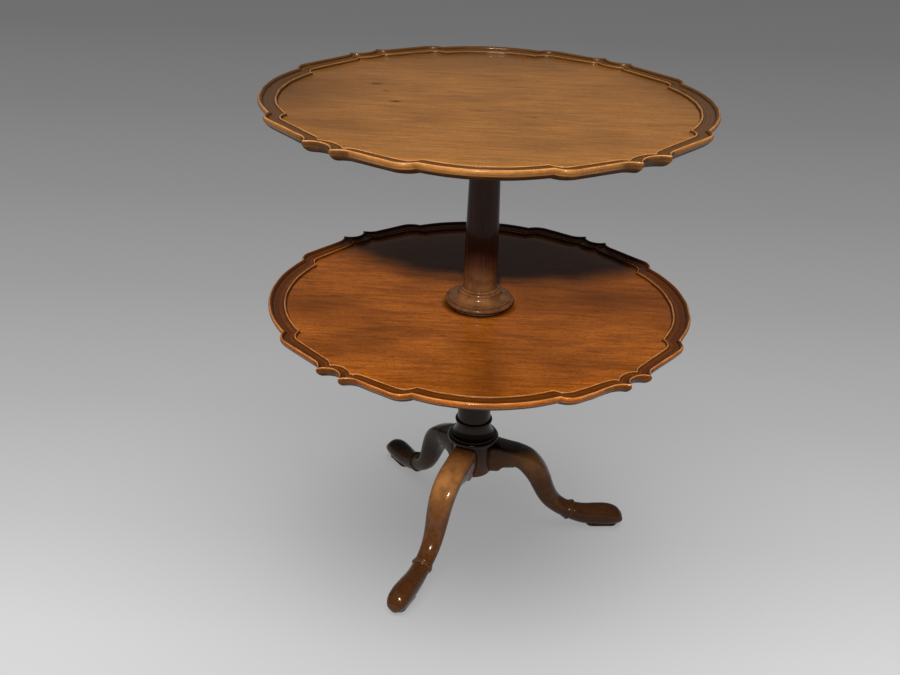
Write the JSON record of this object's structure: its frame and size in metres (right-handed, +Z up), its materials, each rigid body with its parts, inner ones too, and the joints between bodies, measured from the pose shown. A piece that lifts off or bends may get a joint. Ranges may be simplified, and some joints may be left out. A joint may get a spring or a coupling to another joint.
{
  "type": "dumbwaiter table",
  "caption": "Round dumbwaiter table: revolving dished tiers with carved pie-crust rims on a turned stem, over a tripod of cabriole legs with slipper feet.",
  "frame": {"origin": "on the floor under the stem's axis, which is also the middle of the overall box", "axes": "+Z up along the stem, -Y towards the front, +X towards the right"},
  "size_m": [0.6098, 0.6098, 0.7],
  "materials": {
    "tier_mahogany": "polished warm orange-brown mahogany, fine grain along X",
    "stem_mahogany": "polished very dark red-brown mahogany",
    "leg_mahogany": "polished dark brown mahogany, worn golden on the knees",
    "block_mahogany": "oiled, unpolished",
    "leather": "waxed washer leather",
    "forged_iron": "blackened wrought iron",
    "screw_steel": "dull steel",
    "brass": "aged brass"
  },
  "bodies": {
    "stem": {"pillar": "stem_mahogany", "leg_front": "leg_mahogany", "leg_right": "leg_mahogany", "leg_back": "leg_mahogany", "spider_plate": "forged_iron", "spider_leg_screws": "screw_steel", "spider_pillar_screw": "screw_steel", "lower_washer": "leather", "column": "stem_mahogany", "upper_washer": "leather"},
    "lower_turntable": {"lower_block": "block_mahogany", "lower_block_screws": "screw_steel", "lower_tier": "tier_mahogany", "seat_washer": "leather"},
    "upper_turntable": {"upper_block": "block_mahogany", "upper_block_screws": "screw_steel", "keeper_screw": "brass", "upper_tier": "tier_mahogany"}
  },
  "joints": [
    {"name": "lower_tier_turn", "type": "hinge", "parent": "stem", "child": "lower_turntable", "pos_m": [0, 0, 0.38], "axis": [0, 0, 1], "continuous": true},
    {"name": "upper_tier_turn", "type": "hinge", "parent": "stem", "child": "upper_turntable", "pos_m": [0, 0, 0.671], "axis": [0, 0, 1], "continuous": true}
  ]
}
